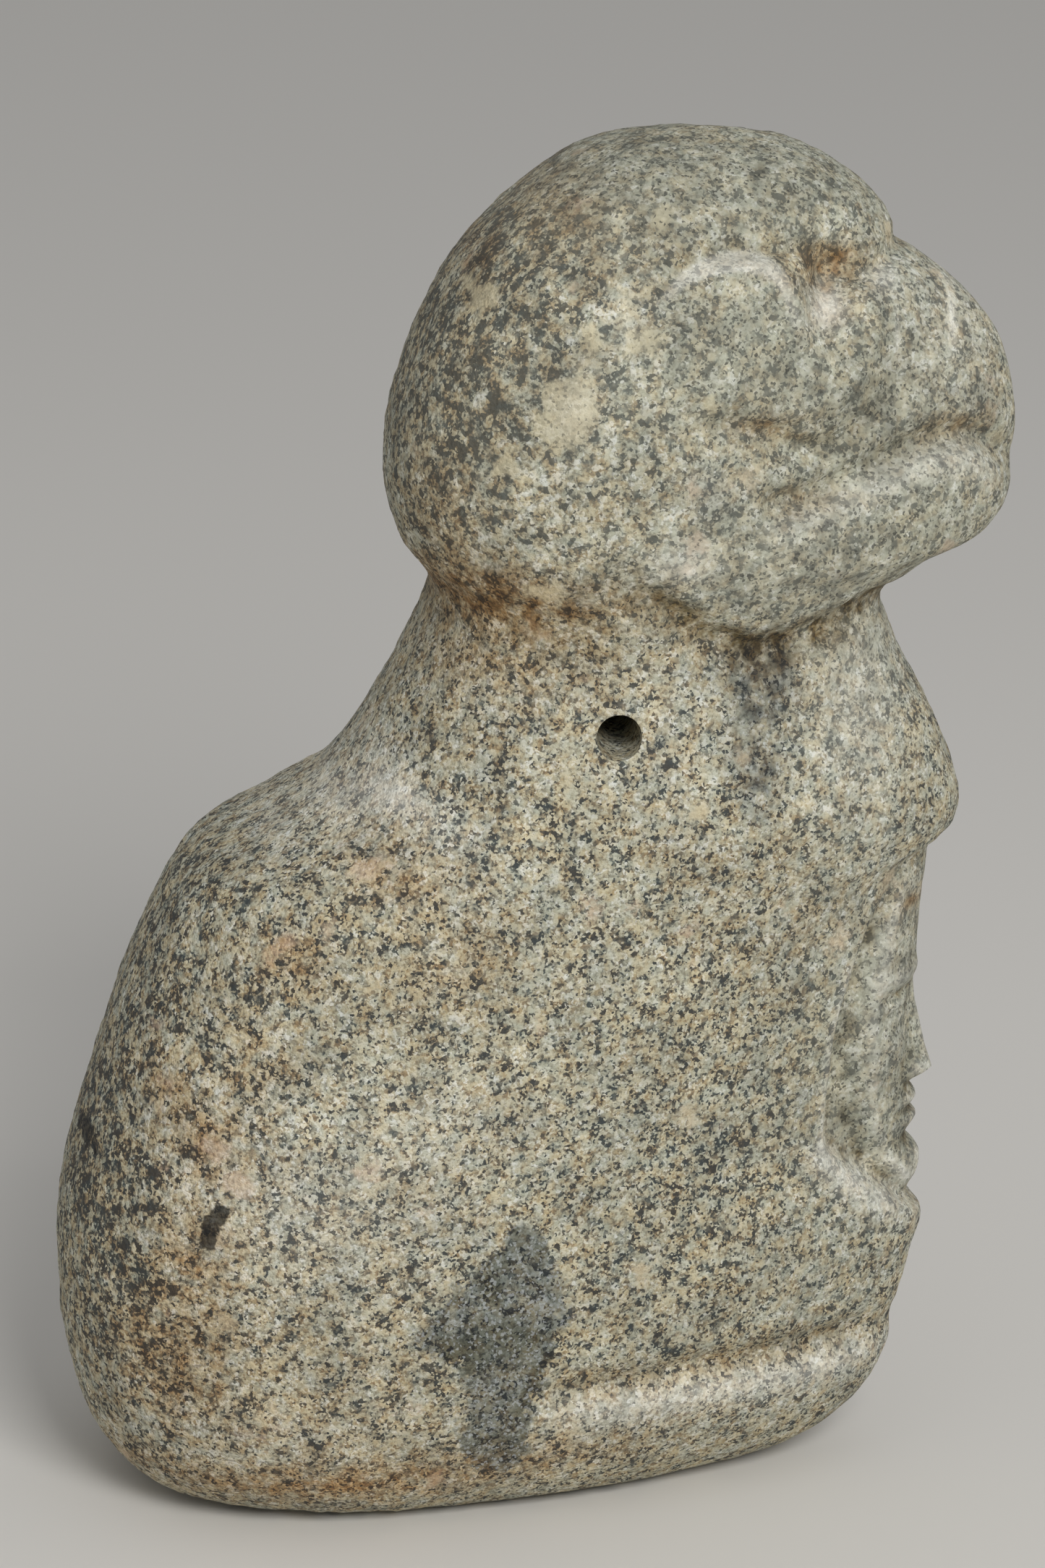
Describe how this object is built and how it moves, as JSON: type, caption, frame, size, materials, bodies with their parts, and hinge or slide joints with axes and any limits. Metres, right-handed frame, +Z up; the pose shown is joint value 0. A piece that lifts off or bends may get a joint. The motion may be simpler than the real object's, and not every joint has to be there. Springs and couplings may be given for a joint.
{
  "type": "carved stone hacha",
  "caption": "Carved stone hacha of speckled rock: a hook-beaked bird's head over a crouching body, with a calm human face in an opening on its chest and a drilled neck.",
  "frame": {"origin": "under the middle of the stone's length, at the middle of its thickness, on the flat underside", "axes": "+X towards the front, where the beak and the human face look; +Y towards the stone's left side; +Z up"},
  "size_m": [0.207, 0.1121, 0.3],
  "materials": {
    "stone": "speckled grey and cream diorite, pecked and ground smooth but not polished, with brown iron stains in the furrows and one dark damp patch low on the right flank"
  },
  "bodies": {
    "root": {"hacha": "stone"}
  },
  "joints": []
}
